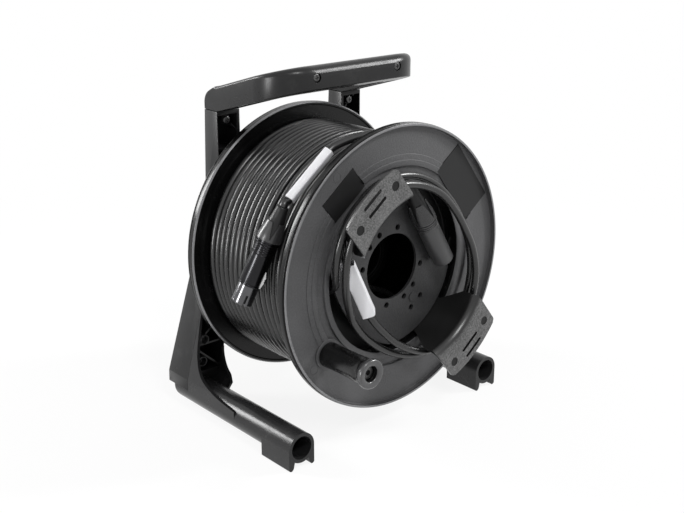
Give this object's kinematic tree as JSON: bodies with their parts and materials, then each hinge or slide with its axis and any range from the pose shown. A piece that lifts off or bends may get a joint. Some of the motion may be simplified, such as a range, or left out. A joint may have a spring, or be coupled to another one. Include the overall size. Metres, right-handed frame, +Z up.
{
  "type": "dmx cable reel",
  "caption": "Hand-cranked cable reel for stage lighting control cable, with a carrying frame, a wound cable and its plug connectors.",
  "frame": {"origin": "on the floor plane under the middle of the reel's box, without the loose cable end", "axes": "+Z up, -Y towards the crank side, drum axis along Y, +X to the right seen from the crank side"},
  "size_m": [0.2492, 0.2085, 0.2985],
  "materials": {
    "flange_plastic": "satin moulded",
    "frame_plastic": "semi-gloss moulded",
    "grained_plastic": "grained",
    "knob_plastic": "glossy",
    "label_film": "blank satin film",
    "cable_jacket": "smooth jacket",
    "boot_rubber": "matt",
    "black_chrome": "black plated",
    "sleeve_white": "smooth",
    "bright_steel": "plated",
    "dark_steel": "blackened",
    "contact_gold": "plated"
  },
  "bodies": {
    "frame": {"upright_left": "frame_plastic", "upright_right": "frame_plastic", "bridge": "frame_plastic", "bridge_screw_left_low": "dark_steel", "bridge_screw_left_high": "dark_steel", "bridge_screw_right_low": "dark_steel", "bridge_screw_right_high": "dark_steel", "frame_screw_left_1": "dark_steel", "frame_screw_left_2": "dark_steel", "frame_screw_left_3": "dark_steel", "frame_screw_right_1": "dark_steel", "frame_screw_right_2": "dark_steel", "frame_screw_right_3": "dark_steel", "foot_left": "frame_plastic", "foot_right": "frame_plastic", "handle": "frame_plastic", "grip_screw_left": "dark_steel", "grip_screw_right": "dark_steel", "spindle": "dark_steel", "spindle_collar": "dark_steel", "retaining_ring": "bright_steel"},
    "drum": {"front_flange": "flange_plastic", "rear_flange": "flange_plastic", "drum_barrel": "flange_plastic", "hub_plate": "flange_plastic", "retainer_upper": "grained_plastic", "retainer_lower": "grained_plastic", "hub_screw_1": "bright_steel", "hub_screw_2": "bright_steel", "hub_screw_3": "bright_steel", "retainer_screw_upper": "dark_steel", "retainer_screw_lower": "dark_steel", "bearing_sleeve": "dark_steel", "label_plate_side": "label_film", "label_plate_upper": "label_film", "knob_bolt": "dark_steel", "cable_core": "cable_jacket", "cable_winding": "cable_jacket", "cable_outer_tail": "cable_jacket", "outer_sleeve": "sleeve_white", "outer_boot": "boot_rubber", "outer_shell": "black_chrome", "outer_insert": "boot_rubber", "cable_inner_loops": "cable_jacket", "inner_sleeve": "sleeve_white", "inner_boot": "boot_rubber", "inner_shell": "boot_rubber", "inner_insert": "boot_rubber", "inner_pin_1": "contact_gold", "inner_pin_2": "contact_gold", "inner_pin_3": "contact_gold"},
    "knob": {"crank_knob": "knob_plastic"},
    "latch": {"outer_latch": "black_chrome"}
  },
  "joints": [
    {"name": "drum_spin", "type": "hinge", "parent": "frame", "child": "drum", "pos_m": [0, 0, 0.1372], "axis": [0, 1, 0], "continuous": true},
    {"name": "knob_spin", "type": "hinge", "parent": "drum", "child": "knob", "pos_m": [-0.0718, -0.05525, 0.0831], "axis": [0, 1, 0], "continuous": true},
    {"name": "latch_press", "type": "slide", "parent": "drum", "child": "latch", "axis": [-0.4575, 0.8044, 0.3791], "range_m": [0, 0.0012], "stiffness_N_per_m": 400}
  ]
}
